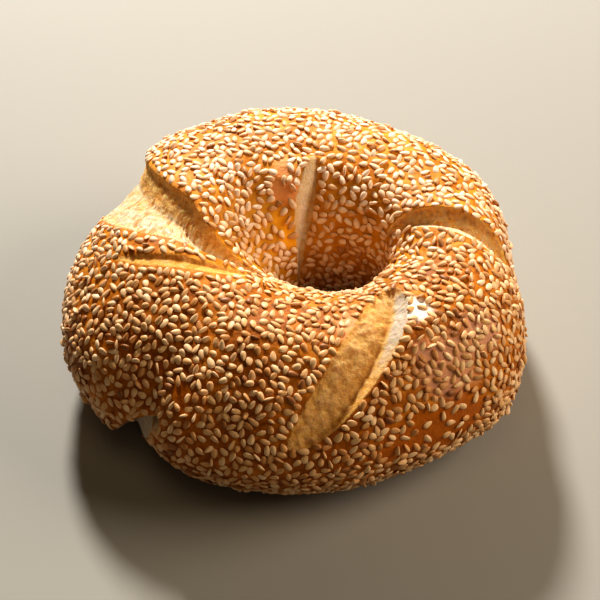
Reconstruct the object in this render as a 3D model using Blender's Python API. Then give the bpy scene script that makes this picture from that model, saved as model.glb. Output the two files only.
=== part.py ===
# Sesame bagel: one ring of twisted dough that split and tore as it baked, with seeds fused to its crust.
#
# The ring lies flat, with +Z up and its flat foot on Z = 0. Two angles name any point of its skin.
# "ring" runs round the hole, from +X towards +Y. "rope" runs round the rope of dough:
# 0 is the outer side, 90 the top, 180 the side of the hole and 270 the foot.

import math
import random
from dataclasses import dataclass

import bmesh
import bpy
import numpy as np
from mathutils import Matrix, Vector
from mathutils.bvhtree import BVHTree
from mathutils import noise

MM = 0.001

# The ring
HALF_WIDTH = 65.0 * MM
HALF_DEPTH = 63.6 * MM
HEIGHT = 48.0 * MM
BELLY = 0.47
CENTRE_X = -0.1 * MM
CENTRE_Y = -0.5 * MM
HOLE_X = 13.0 * MM
HOLE_Y = 5.5 * MM
HOLE_HALF_WIDTH = 13.5 * MM
HOLE_HALF_DEPTH = 8.0 * MM
UNDERCUT = 4.0 * MM
FOOT_SINK = 3.6 * MM
FOOT_EDGE = 2.5 * MM
ROUNDNESS = 0.92
HOLE_FOOT_ROUNDNESS = 0.6
FLARE_POWER = 1.5
FOOT_FADE_START = 1.0 * MM
FOOT_FADE = 6.0 * MM
FOOT_CONTACT = 0.1 * MM

# Where the ring bulges or draws in: the amount, the ring angle in the middle of it, and its half angle
OUTLINE_BULGES = [
    (0.045, 33, 17),
    (0.085, 329, 19),
    (-0.075, 155, 15),
    (0.03, 203, 15),
    (-0.05, 229, 8),
    (0.015, 240, 10),
    (0.02, 105, 30),
    (-0.025, 2, 14),
]
HEIGHT_BULGES = [(2.5 * MM, 105, 50), (-1.0 * MM, 270, 40)]

# The same for how far the hole widens upwards, and for the power that shapes the section's upper half:
# more than ROUNDNESS slopes away sooner, and less keeps the top broad and turns down steeply at its edge
FLARE_BULGES = [(16.0 * MM, 185, 65), (3.0 * MM, 125, 25), (5.0 * MM, 285, 35)]
OUTER_ROUNDING = [(0.4, 235, 58)]
HOLE_ROUNDING = [(-0.2, 50, 50)]

# The soft unevenness of dough shaped by hand
LUMP_SIZE = 13.0 * MM
LUMP_HEIGHT = 0.5 * MM
CRUMB_SIZE = 4.5 * MM
CRUMB_HEIGHT = 0.7 * MM

# The mesh
RING_STEPS = 300
ROPE_STEPS = 120
CRUST_TRIANGLES = 3900

# The seeds
SEED_LENGTH = 3.2 * MM
SEED_WIDTH = 1.9 * MM
SEED_THICKNESS = 1.1 * MM
SEED_UNEVENNESS = 0.12
SEED_TAPER = 0.35
SEED_SUNK = 0.12 * MM
SEED_COUNT = 210
SEED_SPACING = 9.5 * MM
SEED_LOWEST = 5.0 * MM
SEED_SIDES = 6
SEED_BANDS = 3
SEED_TRIES = 20000
RANDOM_SEED = 7


@dataclass
class Opening:
    """A tear, split or fold that runs over the rope at a slant.

    Its middle crosses the top of the rope at ring_on_top degrees, and moves round the ring by slant degrees
    for each degree over the rope, and by bend for each square degree. It runs between two rope angles and
    narrows to a point at both. Low and high are its sides by ring angle: each has a width, a wall, which is
    straight at 1 and hollow above it, a raised lip and an overhang. The valley is its deepest line. From the
    outer end to the inner one, drift moves the valley, deepen makes it deeper, and high_taper narrows the
    high side, or widens it below 0. Roll is how far a lip rounds down into the opening.
    """

    ring_on_top: float
    slant: float
    rope_from: float
    rope_to: float
    low_width: float
    high_width: float
    valley: float
    depth: float
    low_wall: float
    high_wall: float
    lip_fall: float
    low_lip: float = 0.0
    high_lip: float = 0.0
    bend: float = 0.0
    drift: float = 0.0
    deepen: float = 0.0
    high_taper: float = 0.0
    roll: float = 1.2 * MM
    low_overhang: float = 0.0
    high_overhang: float = 0.0
    crumb: float = 0.0


OPENINGS = {
    "tear": Opening(
        ring_on_top=178,
        slant=0.56,
        bend=0.0006,
        rope_from=-25,
        rope_to=152,
        low_width=9.0 * MM,
        high_width=9.6 * MM,
        high_taper=0.75,
        valley=-2.4 * MM,
        drift=-2.4 * MM,
        depth=4.0 * MM,
        deepen=0.5,
        low_wall=1.2,
        high_wall=1.3,
        low_lip=1.5 * MM,
        high_lip=1.0 * MM,
        lip_fall=9.0 * MM,
        low_overhang=1.3 * MM,
        crumb=1.0,
    ),
    "slit": Opening(
        ring_on_top=201,
        slant=0.44,
        rope_from=57,
        rope_to=140,
        low_width=2.3 * MM,
        high_width=2.1 * MM,
        valley=-1.2 * MM,
        depth=0.9 * MM,
        low_wall=1.0,
        high_wall=1.3,
        low_lip=0.3 * MM,
        high_lip=0.3 * MM,
        lip_fall=4.0 * MM,
    ),
    "split": Opening(
        ring_on_top=296,
        slant=0.35,
        bend=-0.0004,
        rope_from=21,
        rope_to=112,
        low_width=7.2 * MM,
        high_width=6.4 * MM,
        high_taper=-0.45,
        valley=3.1 * MM,
        drift=-0.6 * MM,
        depth=3.0 * MM,
        deepen=0.5,
        low_wall=1.5,
        high_wall=1.1,
        low_lip=0.2 * MM,
        high_lip=0.8 * MM,
        lip_fall=6.0 * MM,
    ),
    "crease": Opening(
        ring_on_top=5,
        slant=0.23,
        bend=0.0015,
        rope_from=38,
        rope_to=150,
        low_width=5.0 * MM,
        high_width=6.2 * MM,
        valley=0.0,
        drift=-1.8 * MM,
        depth=2.5 * MM,
        low_wall=1.2,
        high_wall=1.1,
        low_lip=0.3 * MM,
        high_lip=1.6 * MM,
        lip_fall=8.0 * MM,
        high_overhang=0.8 * MM,
    ),
    "fold": Opening(
        ring_on_top=88,
        slant=0.30,
        bend=0.0022,
        rope_from=106,
        rope_to=210,
        low_width=5.5 * MM,
        high_width=2.6 * MM,
        high_taper=0.8,
        valley=-1.2 * MM,
        drift=0.8 * MM,
        depth=2.8 * MM,
        low_wall=1.3,
        high_wall=1.2,
        high_lip=3.6 * MM,
        lip_fall=10.0 * MM,
        roll=3.4 * MM,
    ),
    "notch": Opening(
        ring_on_top=253,
        slant=0.28,
        rope_from=-50,
        rope_to=19,
        low_width=4.0 * MM,
        high_width=4.6 * MM,
        valley=-0.4 * MM,
        depth=7.0 * MM,
        low_wall=1.0,
        high_wall=1.2,
        low_lip=1.6 * MM,
        high_lip=0.3 * MM,
        lip_fall=7.0 * MM,
        low_overhang=1.4 * MM,
        crumb=0.5,
    ),
}
LIP_TAPER = 0.7
OVERHANG_FALL = 3.5 * MM
ROPE_RADIUS = 23.0 * MM
TAPER_START = -0.4
SMALLEST_OPENING = 0.02

CRUST_COLOUR = (0.39, 0.17, 0.05, 1.0)
CRUST_ROUGHNESS = 0.5
SEED_COLOUR = (0.78, 0.56, 0.30, 1.0)
SEED_ROUGHNESS = 0.4


def clear_scene():
    for obj in list(bpy.data.objects):
        bpy.data.objects.remove(obj)


def turn(angle):
    """The same angle between minus and plus half a turn."""
    return (angle + math.pi) % (2 * math.pi) - math.pi


def bulges(ring, terms):
    """The sum of smooth bumps round the ring."""
    total = np.zeros_like(ring)
    for amount, middle, half_angle in terms:
        total += amount * np.exp(-((turn(ring - math.radians(middle)) / math.radians(half_angle)) ** 2))
    return total


def plain_ring(ring, rope):
    """The skin without its openings: a rope between an uneven outline and an oval hole."""
    swell = 1 + bulges(ring, OUTLINE_BULGES)
    outer_x = HALF_WIDTH * np.cos(ring) * swell
    outer_y = HALF_DEPTH * np.sin(ring) * swell
    inner_x = HOLE_X + HOLE_HALF_WIDTH * np.cos(ring)
    inner_y = HOLE_Y + HOLE_HALF_DEPTH * np.sin(ring)
    across = np.hypot(outer_x - inner_x, outer_y - inner_y)
    along_x = (outer_x - inner_x) / across
    along_y = (outer_y - inner_y) / across

    top = HEIGHT + bulges(ring, HEIGHT_BULGES)
    belly = BELLY * top
    cosine = np.cos(rope)
    sine = np.sin(rope)
    outside = cosine > 0
    upper = ROUNDNESS + np.where(outside, bulges(ring, OUTER_ROUNDING), bulges(ring, HOLE_ROUNDING))
    lower = np.where(outside, ROUNDNESS, HOLE_FOOT_ROUNDNESS)
    side = np.sign(cosine) * np.abs(cosine) ** np.where(sine > 0, upper, lower)
    rise = np.sign(sine) * np.abs(sine) ** np.where(sine > 0, upper, ROUNDNESS)
    z = np.where(sine > 0, belly + (top - belly) * rise, belly + (belly + FOOT_SINK) * rise)
    z = np.where(z > FOOT_EDGE, z, np.where(z < -FOOT_EDGE, 0.0, (z + FOOT_EDGE) ** 2 / (4 * FOOT_EDGE)))

    hole_side = np.clip(-cosine, 0, 1)
    outer_side = np.clip(cosine, 0, 1)
    reach = across / 2 * side
    reach += bulges(ring, FLARE_BULGES) * hole_side * (z / top) ** FLARE_POWER
    reach -= UNDERCUT * outer_side * (1 - np.clip(z / belly, 0, 1)) ** 2
    x = (outer_x + inner_x) / 2 + along_x * reach + CENTRE_X
    y = (outer_y + inner_y) / 2 + along_y * reach + CENTRE_Y
    return np.stack([x, y, z], axis=-1)


def skin_directions(ring, rope):
    """The outward normal and the direction round the ring, from small steps along the plain ring."""
    step = 0.001
    round_ring = plain_ring(ring + step, rope) - plain_ring(ring - step, rope)
    round_rope = plain_ring(ring, rope + step) - plain_ring(ring, rope - step)
    normal = np.cross(round_ring, round_rope)
    normal /= np.linalg.norm(normal, axis=-1, keepdims=True)
    round_ring /= np.linalg.norm(round_ring, axis=-1, keepdims=True)
    return normal, round_ring


def opening_relief(opening, ring, rope, radius):
    """How far one opening lifts the skin, how far it moves it round the ring, and where it is open."""
    rope_deg = np.degrees((rope + math.pi / 2) % (2 * math.pi) - math.pi / 2)
    past_top = rope_deg - 90
    middle = opening.ring_on_top + opening.slant * past_top + opening.bend * past_top**2
    shear = np.sqrt(1 + (opening.slant * radius / ROPE_RADIUS) ** 2)
    offset = turn(ring - np.radians(middle)) * radius / shear

    half_run = (opening.rope_to - opening.rope_from) / 2
    along = (rope_deg - opening.rope_from - half_run) / half_run
    size = np.sqrt(np.clip(1 - along**2, 0, 1))
    low = -opening.low_width * size - 1e-9
    narrowing = 1 - opening.high_taper * np.clip(along - TAPER_START, 0, 1)
    high = opening.high_width * size * narrowing + 1e-9
    valley = (opening.valley + opening.drift * along) * size
    on_low = offset < valley
    share = np.where(on_low, (valley - offset) / (valley - low), (offset - valley) / (high - valley))
    wall = np.where(on_low, opening.low_wall, opening.high_wall)
    depth = opening.depth * (1 + opening.deepen * along)
    lift = -depth * size * (1 - np.clip(share, 0, 1)) ** wall

    shift = np.zeros_like(lift)
    for past, lip, overhang in (
        (low - offset, opening.low_lip, opening.low_overhang),
        (offset - high, opening.high_lip, -opening.high_overhang),
    ):
        lip_reach = np.where(past > 0, opening.lip_fall, opening.roll)
        overhang_reach = np.where(past > 0, OVERHANG_FALL, opening.roll)
        lift += lip * size**LIP_TAPER * np.exp(-((past / lip_reach) ** 2))
        shift += overhang * size * np.exp(-((past / overhang_reach) ** 2))
    is_open = (offset > low) & (offset < high) & (size > SMALLEST_OPENING)
    return lift, shift, is_open


def unevenness(points, size):
    """Smooth noise between about -1 and 1 that changes over the given size."""
    return np.array([noise.noise(Vector(point) / size) for point in points])


def dough(ring, rope):
    """The skin with its openings, and which points lie in an opening."""
    points = plain_ring(ring, rope)
    normal, round_ring = skin_directions(ring, rope)
    radius = np.hypot(points[:, 0], points[:, 1])
    lift = LUMP_HEIGHT * unevenness(points, LUMP_SIZE)
    crumb = CRUMB_HEIGHT * unevenness(points, CRUMB_SIZE)
    shift = np.zeros_like(lift)
    is_open = np.zeros(len(points), bool)
    for opening in OPENINGS.values():
        opening_lift, opening_shift, inside = opening_relief(opening, ring, rope, radius)
        lift += opening_lift + opening.crumb * crumb * inside
        shift += opening_shift
        is_open |= inside
    fade = np.clip((points[:, 2] - FOOT_FADE_START) / FOOT_FADE, 0, 1)
    fade = fade * fade * (3 - 2 * fade)
    points = points + normal * (lift * fade)[:, None] + round_ring * (shift * fade)[:, None]
    return points, is_open


def apply_modifier(obj, modifier):
    with bpy.context.temp_override(object=obj, active_object=obj):
        bpy.ops.object.modifier_apply(modifier=modifier.name)


def make_ring(collection):
    """A torus whose points move onto the dough's skin, then thinned where the skin is plain."""
    major = (HALF_WIDTH + HOLE_HALF_WIDTH) / 2
    minor = (HALF_WIDTH - HOLE_HALF_WIDTH) / 2
    bpy.ops.mesh.primitive_torus_add(
        major_segments=RING_STEPS, minor_segments=ROPE_STEPS, major_radius=major, minor_radius=minor
    )
    obj = bpy.context.object
    obj.name = obj.data.name = "bagel"
    for owner in list(obj.users_collection):
        owner.objects.unlink(obj)
    collection.objects.link(obj)

    start = np.array([vertex.co for vertex in obj.data.vertices])
    ring = np.arctan2(start[:, 1], start[:, 0])
    rope = np.arctan2(start[:, 2], np.hypot(start[:, 0], start[:, 1]) - major)
    points, _ = dough(ring, rope)
    obj.data.vertices.foreach_set("co", points.astype(np.float32).ravel())

    thin = obj.modifiers.new("thin", "DECIMATE")
    thin.ratio = CRUST_TRIANGLES / (2 * RING_STEPS * ROPE_STEPS)
    thin.use_collapse_triangulate = True
    apply_modifier(obj, thin)
    flatten_foot(obj.data)
    return obj


def flatten_foot(mesh):
    """Puts what thinning lifted off the foot back on it."""
    for vertex in mesh.vertices:
        if vertex.co.z < FOOT_CONTACT:
            vertex.co.z = 0.0


def seed_mesh():
    """A flattened drop, one unit long, wide and thick, narrower at one end. Its length is along X."""
    shape = bmesh.new()
    lengthwise = Matrix.Rotation(math.pi / 2, 4, "Y")
    bmesh.ops.create_uvsphere(
        shape, u_segments=SEED_SIDES, v_segments=SEED_BANDS, radius=0.5, matrix=lengthwise
    )
    for vertex in shape.verts:
        narrowing = 1 - SEED_TAPER * (vertex.co.x + 0.5)
        vertex.co.y *= narrowing
        vertex.co.z *= narrowing
    bmesh.ops.recalc_face_normals(shape, faces=shape.faces)
    mesh = bpy.data.meshes.new("seed")
    mesh.materials.append(food_material("toasted_sesame", SEED_COLOUR, SEED_ROUGHNESS))
    shape.to_mesh(mesh)
    shape.free()
    return mesh


def seed_places(ring_object):
    """Seeded random places on the crust, at least a spacing apart and clear of the openings and the foot."""
    draw = random.Random(RANDOM_SEED)
    tries = np.array([(draw.random(), draw.random(), draw.random()) for _ in range(SEED_TRIES)])
    ring = tries[:, 0] * 2 * math.pi
    rope = tries[:, 1] * 2 * math.pi
    points, is_open = dough(ring, rope)
    radius = np.hypot(points[:, 0], points[:, 1])
    keep = (tries[:, 2] < radius / HALF_WIDTH) & ~is_open & (points[:, 2] > SEED_LOWEST)

    shape = bmesh.new()
    shape.from_mesh(ring_object.data)
    tree = BVHTree.FromBMesh(shape)
    shape.free()
    places = []
    for point in points[keep]:
        spot, normal, _, _ = tree.find_nearest(Vector(point))
        if all((spot - other).length > SEED_SPACING for other, _ in places):
            places.append((spot, normal))
        if len(places) == SEED_COUNT:
            break
    return places


def scatter_seeds(ring_object, collection):
    """Lays each seed flat on the crust, turned any way, with just over half of it showing."""
    draw = random.Random(RANDOM_SEED + 1)
    mesh = seed_mesh()
    for number, (spot, normal) in enumerate(seed_places(ring_object)):
        size = 1 + draw.uniform(-SEED_UNEVENNESS, SEED_UNEVENNESS)
        seed = bpy.data.objects.new(f"seed_{number}", mesh)
        collection.objects.link(seed)
        lying = normal.to_track_quat("Z", "Y").to_matrix().to_4x4()
        heading = Matrix.Rotation(draw.uniform(0, 2 * math.pi), 4, "Z")
        scale = Matrix.Diagonal((SEED_LENGTH * size, SEED_WIDTH * size, SEED_THICKNESS * size, 1))
        centre = Matrix.Translation(spot + normal * SEED_SUNK)
        seed.matrix_world = centre @ lying @ heading @ scale


def fuse_seeds(ring_object, collection):
    union = ring_object.modifiers.new("seeds", "BOOLEAN")
    union.operation = "UNION"
    union.operand_type = "COLLECTION"
    union.collection = collection
    union.solver = "EXACT"
    union.material_mode = "TRANSFER"
    apply_modifier(ring_object, union)
    for seed in list(collection.objects):
        bpy.data.objects.remove(seed)
    bpy.data.collections.remove(collection)


def food_material(name, colour, roughness):
    material = bpy.data.materials.new(name)
    material.use_nodes = True
    surface = material.node_tree.nodes["Principled BSDF"]
    surface.inputs["Base Color"].default_value = colour
    surface.inputs["Roughness"].default_value = roughness
    surface.inputs["Metallic"].default_value = 0.0
    material.diffuse_color = colour
    return material


def new_collection(name):
    collection = bpy.data.collections.new(name)
    bpy.context.scene.collection.children.link(collection)
    return collection


def main():
    clear_scene()
    bagel = make_ring(new_collection("sesame_bagel"))
    bagel.data.materials.append(food_material("baked_crust", CRUST_COLOUR, CRUST_ROUGHNESS))
    seeds = new_collection("seeds")
    scatter_seeds(bagel, seeds)
    fuse_seeds(bagel, seeds)


main()
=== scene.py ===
# %% [markdown]
# # A sesame bagel
#
# A bagel is a rope of yeast dough closed into a ring. This one was twisted first, so the skin tore and
# split on a slant as it rose in the oven, and the folds of the twist show inside the hole. Nearly all of
# it is covered in sesame seeds. We make the bread as one continuous skin, and then lay the seeds on it.

# %% Load the solid that everything is built around
import math
import random
from dataclasses import dataclass

import bmesh
import bpy
import numpy as np
from mathutils import Matrix, Vector, noise


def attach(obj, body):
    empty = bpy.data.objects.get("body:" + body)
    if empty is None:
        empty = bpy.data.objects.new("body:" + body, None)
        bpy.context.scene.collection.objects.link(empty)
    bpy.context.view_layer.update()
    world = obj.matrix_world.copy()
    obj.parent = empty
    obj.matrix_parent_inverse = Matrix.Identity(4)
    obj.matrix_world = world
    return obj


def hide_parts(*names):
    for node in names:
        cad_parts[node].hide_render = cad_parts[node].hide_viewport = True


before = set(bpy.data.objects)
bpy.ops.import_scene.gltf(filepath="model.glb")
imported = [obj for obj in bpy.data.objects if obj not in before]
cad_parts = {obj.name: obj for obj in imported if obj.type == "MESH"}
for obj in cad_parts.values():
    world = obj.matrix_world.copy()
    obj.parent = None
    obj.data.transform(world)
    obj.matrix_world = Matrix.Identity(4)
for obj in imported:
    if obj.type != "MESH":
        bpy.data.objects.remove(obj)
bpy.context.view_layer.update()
MM = 0.001
scene = bpy.context.scene

# %% [markdown]
# ## The camera
#
# The camera comes first, because it decides how fine the details have to be. It looks down at 48 degrees
# with a long lens, about 120 mm on a 36 mm sensor, from a little over half a metre. A long lens keeps the
# far side of the ring nearly as wide as the near side.

# %% Camera
FRAME_PIXELS = 600
FOCAL_PIXELS = 2000
SENSOR_WIDTH = 36.0
VIEW_ELEVATION = math.radians(48)
VIEW_DISTANCE = 577 * MM
VIEW_TARGET = Vector((-0.1, -0.5, 20.6)) * MM
TARGET_PIXEL = (292, 303)


def add_object(name, data):
    made = bpy.data.objects.new(name, data)
    scene.collection.objects.link(made)
    return made


view_back = Vector((0, -math.cos(VIEW_ELEVATION), math.sin(VIEW_ELEVATION)))
camera_data = bpy.data.cameras.new("camera")
camera_data.sensor_width = SENSOR_WIDTH
camera_data.lens = SENSOR_WIDTH * FOCAL_PIXELS / FRAME_PIXELS
camera = add_object("camera", camera_data)
camera.location = VIEW_TARGET + view_back * VIEW_DISTANCE
pixel_size = VIEW_DISTANCE / FOCAL_PIXELS
view_up = Vector((0, math.sin(VIEW_ELEVATION), math.cos(VIEW_ELEVATION)))
aim = VIEW_TARGET + Vector((1, 0, 0)) * (FRAME_PIXELS / 2 - TARGET_PIXEL[0]) * pixel_size
aim += view_up * (TARGET_PIXEL[1] - FRAME_PIXELS / 2) * pixel_size
camera.rotation_euler = (aim - camera.location).to_track_quat("-Z", "Y").to_euler()
scene.camera = camera
print("lens in mm:", round(camera_data.lens, 1))

# %% [markdown]
# ## The form of the ring
#
# Two angles place any point of the skin. One runs round the hole, and one runs round the rope of dough,
# with 0 on the outer side, 90 on top and 180 on the side of the hole. A plain torus would look machined,
# so the outline bulges and draws in, the hole is a small oval off to one side and widens upwards, and the
# foot is flat where the dough sat on its tray. The rope's section is an oval whose sine and cosine are
# raised to a power: 1 is an ellipse, less is squarer and more is leaner.

# %% Sizes of the ring
HALF_WIDTH = 65.0 * MM
HALF_DEPTH = 63.6 * MM
HEIGHT = 48.0 * MM
BELLY = 0.47
CENTRE_X = -0.1 * MM
CENTRE_Y = -0.5 * MM
HOLE_X = 13.0 * MM
HOLE_Y = 5.5 * MM
HOLE_HALF_WIDTH = 13.5 * MM
HOLE_HALF_DEPTH = 8.0 * MM
UNDERCUT = 4.0 * MM
FOOT_SINK = 3.6 * MM
FOOT_EDGE = 2.5 * MM
ROUNDNESS = 0.92
HOLE_FOOT_ROUNDNESS = 0.6
FLARE_POWER = 1.5
OUTLINE_BULGES = [
    (0.045, 33, 17),
    (0.085, 329, 19),
    (-0.075, 155, 15),
    (0.03, 203, 15),
    (-0.05, 229, 8),
    (0.015, 240, 10),
    (0.02, 105, 30),
    (-0.025, 2, 14),
]
HEIGHT_BULGES = [(2.5 * MM, 105, 50), (-1.0 * MM, 270, 40)]
FLARE_BULGES = [(16.0 * MM, 185, 65), (3.0 * MM, 125, 25), (5.0 * MM, 285, 35)]
OUTER_ROUNDING = [(0.4, 235, 58)]
HOLE_ROUNDING = [(-0.2, 50, 50)]
RING_MIDDLE = (HALF_WIDTH + HOLE_HALF_WIDTH) / 2
ROPE_HALF = (HALF_WIDTH - HOLE_HALF_WIDTH) / 2
print("rope across in mm:", round(2 * ROPE_HALF / MM, 1))


# %% From two angles to a point on the plain ring
def turn(angle):
    return (angle + math.pi) % (2 * math.pi) - math.pi


def smooth(value):
    value = np.clip(value, 0, 1)
    return value * value * (3 - 2 * value)


def bulges(ring, terms):
    total = np.zeros_like(ring)
    for amount, middle, half_angle in terms:
        total += amount * np.exp(-((turn(ring - math.radians(middle)) / math.radians(half_angle)) ** 2))
    return total


def plain_ring(ring, rope):
    swell = 1 + bulges(ring, OUTLINE_BULGES)
    outer_x = HALF_WIDTH * np.cos(ring) * swell
    outer_y = HALF_DEPTH * np.sin(ring) * swell
    inner_x = HOLE_X + HOLE_HALF_WIDTH * np.cos(ring)
    inner_y = HOLE_Y + HOLE_HALF_DEPTH * np.sin(ring)
    across = np.hypot(outer_x - inner_x, outer_y - inner_y)
    along_x = (outer_x - inner_x) / across
    along_y = (outer_y - inner_y) / across

    top = HEIGHT + bulges(ring, HEIGHT_BULGES)
    belly = BELLY * top
    cosine = np.cos(rope)
    sine = np.sin(rope)
    outside = cosine > 0
    upper = ROUNDNESS + np.where(outside, bulges(ring, OUTER_ROUNDING), bulges(ring, HOLE_ROUNDING))
    lower = np.where(outside, ROUNDNESS, HOLE_FOOT_ROUNDNESS)
    side = np.sign(cosine) * np.abs(cosine) ** np.where(sine > 0, upper, lower)
    rise = np.sign(sine) * np.abs(sine) ** np.where(sine > 0, upper, ROUNDNESS)
    z = np.where(sine > 0, belly + (top - belly) * rise, belly + (belly + FOOT_SINK) * rise)
    z = np.where(z > FOOT_EDGE, z, np.where(z < -FOOT_EDGE, 0.0, (z + FOOT_EDGE) ** 2 / (4 * FOOT_EDGE)))

    hole_side = np.clip(-cosine, 0, 1)
    outer_side = np.clip(cosine, 0, 1)
    reach = across / 2 * side
    reach += bulges(ring, FLARE_BULGES) * hole_side * (z / top) ** FLARE_POWER
    reach -= UNDERCUT * outer_side * (1 - np.clip(z / belly, 0, 1)) ** 2
    x = (outer_x + inner_x) / 2 + along_x * reach + CENTRE_X
    y = (outer_y + inner_y) / 2 + along_y * reach + CENTRE_Y
    return np.stack([x, y, z], axis=-1)


def skin_directions(ring, rope):
    """The way out of the skin and the way round the ring, from points a small angle to each side."""
    step = 0.001
    round_ring = plain_ring(ring + step, rope) - plain_ring(ring - step, rope)
    round_rope = plain_ring(ring, rope + step) - plain_ring(ring, rope - step)
    normal = np.cross(round_ring, round_rope)
    normal /= np.linalg.norm(normal, axis=-1, keepdims=True)
    round_ring /= np.linalg.norm(round_ring, axis=-1, keepdims=True)
    return normal, round_ring


right_top = plain_ring(np.array([0.0]), np.array([math.pi / 2]))[0]
print("top of the right side in mm:", (right_top / MM).round(1))

# %% [markdown]
# ## Where the dough opened
#
# The six openings all lean the same way, because they follow the twist. Each one is a valley between two
# lips that narrows to a point at both ends. The large tear at the back left pulled the crumb apart into
# fibres, and the dough above it overhangs. The split at the front right is broad and softly pillowed. The
# crease, the slit and the fold are places where one strand rolled over its neighbour, and the notch cuts
# into the outline at the front left.
#
# All six come from one recipe. It says where the opening crosses the top and how it slants, how wide and
# deep it is on each side of its valley, and whether its lips rise or overhang. From its outer end to its
# inner one it may taper, drift aside and deepen, and a covered strip keeps its crust. The last values are
# for the colours: how pale the crumb is, with a painted highlight that makes the high wall paler where the
# light strikes it, and how much golden skin is stretched over it, in all and on the low wall. The golden
# skin is partly painted light: it lightens walls that lie in the shade of a lip, and on the low wall it
# is added where shade falls and taken away where a lip is lit.

# %% The openings
@dataclass
class Opening:
    ring_on_top: float
    slant: float
    rope_from: float
    rope_to: float
    low_width: float
    high_width: float
    valley: float
    depth: float
    low_wall: float
    high_wall: float
    lip_fall: float
    low_lip: float = 0.0
    high_lip: float = 0.0
    bend: float = 0.0
    drift: float = 0.0
    deepen: float = 0.0
    roll: float = 1.2 * MM
    low_cover: float = 0.0
    high_taper: float = 0.0
    low_overhang: float = 0.0
    high_overhang: float = 0.0
    fibres: float = 0.0
    pillows: float = 0.0
    pale_from: float = 0.5
    pale_to: float = 0.5
    # Painted highlight: how much paler the high wall is painted where the light strikes it.
    high_wall_highlight: float = 0.0
    # Golden skin over the crumb, partly painted light that lightens walls in a lip's shade.
    golden: float = 0.0
    # On the low wall the golden share is painted shade and light: more in a lip's shade, less where a low lip
    # is lit.
    low_wall_gold_and_shade: float = 0.0


OPENINGS = {
    "tear": Opening(
        ring_on_top=178, slant=0.56, bend=0.0006, rope_from=-25, rope_to=152,
        low_width=9.0 * MM, high_width=9.6 * MM, high_taper=0.75, valley=-2.4 * MM, drift=-2.4 * MM,
        depth=4.0 * MM, deepen=0.5, low_wall=1.2, high_wall=1.3,
        low_lip=1.5 * MM, high_lip=1.0 * MM, lip_fall=9.0 * MM, low_overhang=1.3 * MM,
        fibres=0.5 * MM, pillows=0.35 * MM, pale_from=0.75, pale_to=0.85, low_wall_gold_and_shade=0.75,
    ),
    "slit": Opening(
        ring_on_top=201, slant=0.44, rope_from=57, rope_to=140,
        low_width=2.3 * MM, high_width=2.1 * MM, valley=-1.2 * MM, depth=0.9 * MM,
        low_wall=1.0, high_wall=1.3, low_lip=0.3 * MM, high_lip=0.3 * MM, lip_fall=4.0 * MM,
        pillows=0.1 * MM, pale_from=0.5, pale_to=0.6, golden=0.5,
    ),
    "split": Opening(
        ring_on_top=296, slant=0.35, bend=-0.0004, rope_from=21, rope_to=112,
        low_width=7.2 * MM, high_width=6.4 * MM, high_taper=-0.45, valley=3.1 * MM, drift=-0.6 * MM,
        depth=3.0 * MM, deepen=0.5, low_wall=1.5, high_wall=1.1,
        low_lip=0.2 * MM, high_lip=0.8 * MM, lip_fall=6.0 * MM,
        fibres=0.15 * MM, pillows=0.45 * MM, pale_from=0.6, pale_to=0.7, high_wall_highlight=0.6, golden=0.6,
    ),
    "crease": Opening(
        ring_on_top=5, slant=0.23, bend=0.0015, rope_from=38, rope_to=150,
        low_width=5.0 * MM, high_width=6.2 * MM, valley=0.0, drift=-1.8 * MM,
        depth=2.5 * MM, low_wall=1.2, high_wall=1.1,
        low_lip=0.3 * MM, high_lip=1.6 * MM, lip_fall=8.0 * MM, high_overhang=0.8 * MM,
        pillows=0.15 * MM, pale_from=1.0, pale_to=1.15, golden=0.9, low_wall_gold_and_shade=-0.55,
    ),
    "fold": Opening(
        ring_on_top=88, slant=0.30, bend=0.0022, rope_from=106, rope_to=210,
        low_width=5.5 * MM, low_cover=2.9 * MM, high_width=2.6 * MM, high_taper=0.8,
        valley=-1.2 * MM, drift=0.8 * MM, depth=2.8 * MM, low_wall=1.3, high_wall=1.2,
        high_lip=3.6 * MM, lip_fall=10.0 * MM, roll=3.4 * MM,
        pillows=0.3 * MM, pale_from=1.05, pale_to=1.2, golden=0.25,
    ),
    "notch": Opening(
        ring_on_top=253, slant=0.28, rope_from=-50, rope_to=19,
        low_width=4.0 * MM, high_width=4.6 * MM, valley=-0.4 * MM, depth=7.0 * MM,
        low_wall=1.0, high_wall=1.2, low_lip=1.6 * MM, high_lip=0.3 * MM, lip_fall=7.0 * MM,
        low_overhang=1.4 * MM, fibres=0.2 * MM, pillows=0.2 * MM, pale_from=1.4, pale_to=0.9,
    ),
}
print("openings:", list(OPENINGS))

# %% Where a point lies in an opening
ROPE_RADIUS = 23.0 * MM
TAPER_START = -0.4
LEAST_WIDTH = 1e-9


def opening_places(opening, ring, rope, radius):
    """Share and distance along the opening, distance across it, its two edges and its size there."""
    rope_deg = np.degrees((rope + math.pi / 2) % (2 * math.pi) - math.pi / 2)
    past_top = rope_deg - 90
    middle = opening.ring_on_top + opening.slant * past_top + opening.bend * past_top**2
    shear = np.sqrt(1 + (opening.slant * radius / ROPE_RADIUS) ** 2)
    offset = turn(ring - np.radians(middle)) * radius / shear
    half_run = (opening.rope_to - opening.rope_from) / 2
    along = (rope_deg - opening.rope_from - half_run) / half_run
    size = np.sqrt(np.clip(1 - along**2, 0, 1))
    low = -opening.low_width * size - LEAST_WIDTH
    narrowing = 1 - opening.high_taper * np.clip(along - TAPER_START, 0, 1)
    high = opening.high_width * size * narrowing + LEAST_WIDTH
    return along, np.radians(past_top) * ROPE_RADIUS * shear, offset, low, high, size


# %% What an opening does to the skin
LIP_TAPER = 0.7
OVERHANG_FALL = 3.5 * MM
FAR_OUTSIDE = -50 * MM
WALL_BLEND = 2.0 * MM
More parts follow.
